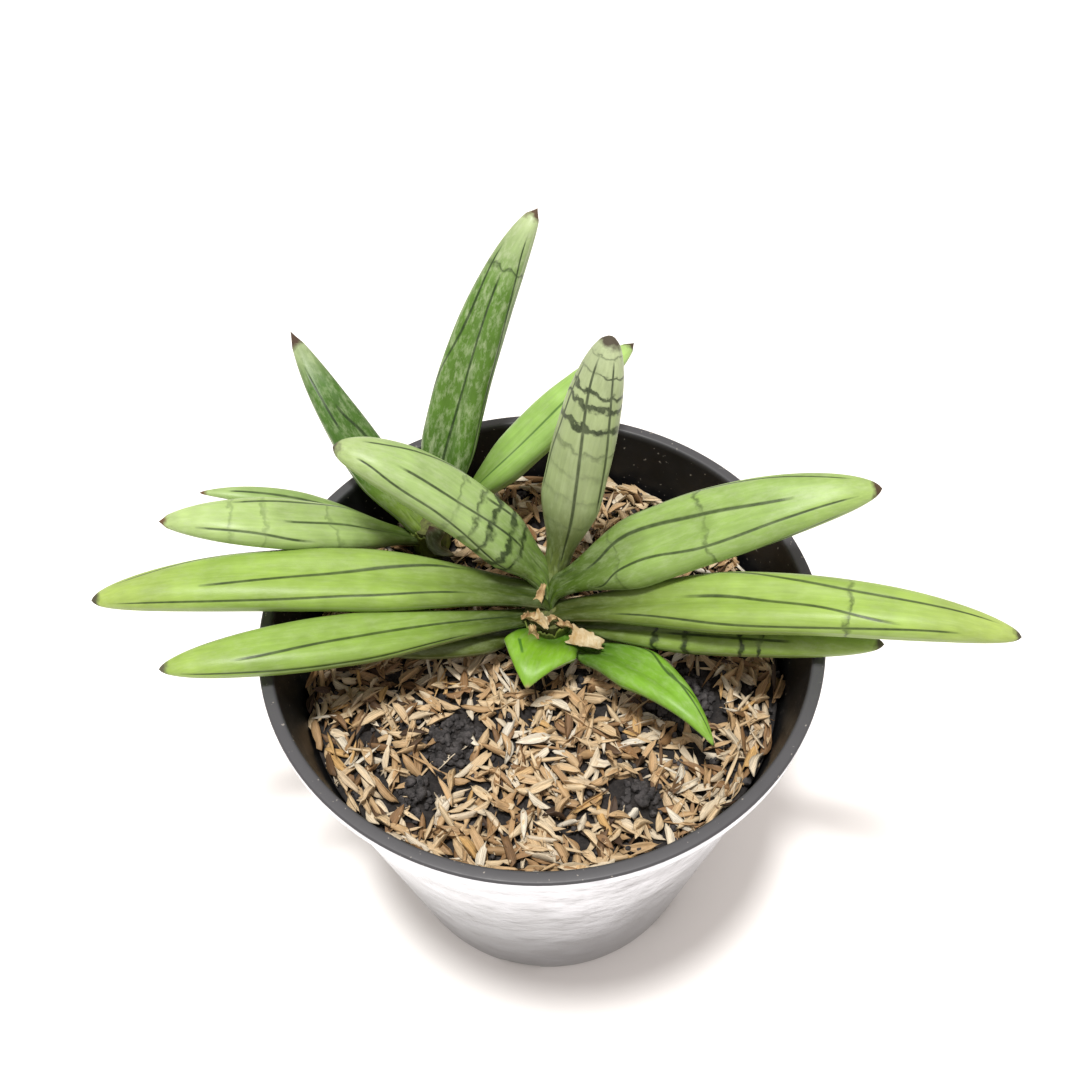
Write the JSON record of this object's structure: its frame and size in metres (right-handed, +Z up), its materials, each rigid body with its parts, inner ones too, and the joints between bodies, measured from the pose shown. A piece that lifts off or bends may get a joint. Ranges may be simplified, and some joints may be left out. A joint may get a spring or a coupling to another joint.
{
  "type": "potted cylindrical snake plant",
  "caption": "Cylindrical snake plant with rosettes of thick, lined, pointed leaves in a black plastic nursery pot, its dark soil strewn with rice husk.",
  "frame": {"origin": "Centre of the flat pad under the pot, on the surface the pot stands on.", "axes": "+Z is up, -Z points out of the pot's underside, +X is to the right of someone facing the plant's front, where the two short bright leaves are, and +Y is away from them. The long leaves lie along X."},
  "size_m": [0.2315, 0.1637, 0.195],
  "materials": {
    "black_plastic": "satin, moulded polypropylene with a faint sheen outside and dull inside",
    "potting_soil": "loose dark crumbs, fully matt",
    "rice_husk": "dry, dull, faintly glossy flakes",
    "leaf_bright": "waxy, fleshy leaf with dark length lines and a soft sheen",
    "leaf_banded": "waxy grey-green leaf with dark lines and wavy cross bands",
    "leaf_dark": "waxy dark green leaf with pale mottling",
    "leaf_vivid": "waxy, smooth, vivid green young leaf",
    "stem": "short fleshy stem, dull",
    "dry_scale": "dry papery scale, translucent tan"
  },
  "bodies": {
    "root": {"pot": "black_plastic", "soil": "potting_soil", "rice_husk": "rice_husk", "leaf_main_upright": "leaf_banded", "leaf_main_banded": "leaf_banded", "leaf_main_right_raised": "leaf_banded", "leaf_main_left_long": "leaf_bright", "leaf_main_right_long": "leaf_bright", "leaf_main_left_low": "leaf_bright", "leaf_main_right_low": "leaf_bright", "leaf_main_left_under": "leaf_bright", "leaf_main_front_short": "leaf_vivid", "leaf_main_front_right": "leaf_vivid", "leaf_pup_back_tall": "leaf_dark", "leaf_pup_back_left": "leaf_dark", "leaf_pup_back_right": "leaf_bright", "leaf_pup_left": "leaf_bright", "leaf_pup_left_under": "leaf_bright", "leaf_pup_sheath": "leaf_dark", "stem_main": "stem", "stem_pup": "stem", "dry_scale": "dry_scale", "dry_shred": "dry_scale"}
  },
  "joints": []
}
